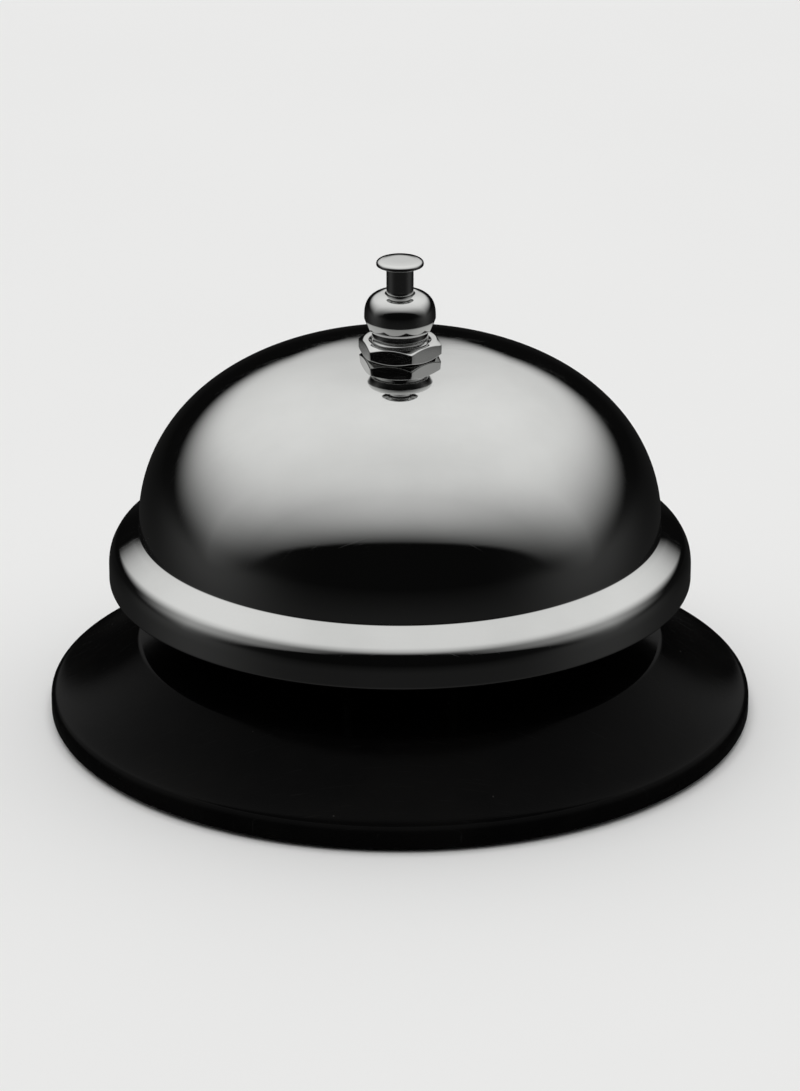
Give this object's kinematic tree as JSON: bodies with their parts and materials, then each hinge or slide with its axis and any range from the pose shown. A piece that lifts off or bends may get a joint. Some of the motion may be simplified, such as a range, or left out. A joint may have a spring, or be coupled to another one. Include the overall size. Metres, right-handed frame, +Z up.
{
  "type": "service bell",
  "caption": "Desk service bell: chromed gong on a gloss-black base, with a push plunger, return spring and a pivoted hammer that strikes the gong from inside.",
  "frame": {"origin": "on the table, under the centre of the base", "axes": "+Z up along the plunger; +Y from the plunger towards the hammer's strike point; the front is -Y"},
  "size_m": [0.0858, 0.0858, 0.0579],
  "materials": {
    "black_enamel": "gloss baked enamel",
    "black_rubber": "matte moulded rubber",
    "vulcanised_fibre": "matte pressed fibre",
    "zinc_plate": "satin zinc plate",
    "spring_steel": "bright drawn steel",
    "chrome": "mirror chrome",
    "brass": "turned brass"
  },
  "bodies": {
    "bell_body": {"base_shell": "black_enamel", "foot_ring": "black_rubber", "bottom_cover": "vulcanised_fibre", "mechanism_bracket": "zinc_plate", "bracket_rivet_1": "spring_steel", "bracket_rivet_2": "spring_steel", "bracket_rivet_3": "spring_steel", "bracket_rivet_4": "spring_steel", "spring_seat": "brass", "return_spring": "spring_steel", "center_post": "chrome", "post_washer": "zinc_plate", "post_nut": "zinc_plate", "gong_washer": "vulcanised_fibre", "gong": "chrome", "gong_nut": "chrome", "post_cap": "chrome", "hinge_pin": "spring_steel", "hinge_clip": "spring_steel"},
    "plunger": {"plunger": "chrome", "plunger_clip": "spring_steel"},
    "hammer": {"hammer_arm": "zinc_plate", "hammer_head": "brass", "hammer_rivet": "spring_steel"}
  },
  "joints": [
    {"name": "plunger_press", "type": "slide", "parent": "bell_body", "child": "plunger", "axis": [0, 0, -1], "range_m": [0, 0.0032], "stiffness_N_per_m": 250, "springref_m": -0.004, "deforming": ["return_spring"]},
    {"name": "hammer_swing", "type": "hinge", "parent": "bell_body", "child": "hammer", "pos_m": [0, 0.011, 0.03], "axis": [1, 0, 0], "range_deg": [0, 16.7]}
  ],
  "couplings": [
    {"joint": "hammer_swing", "follows": "plunger_press", "rad_per_m": 90.909}
  ]
}
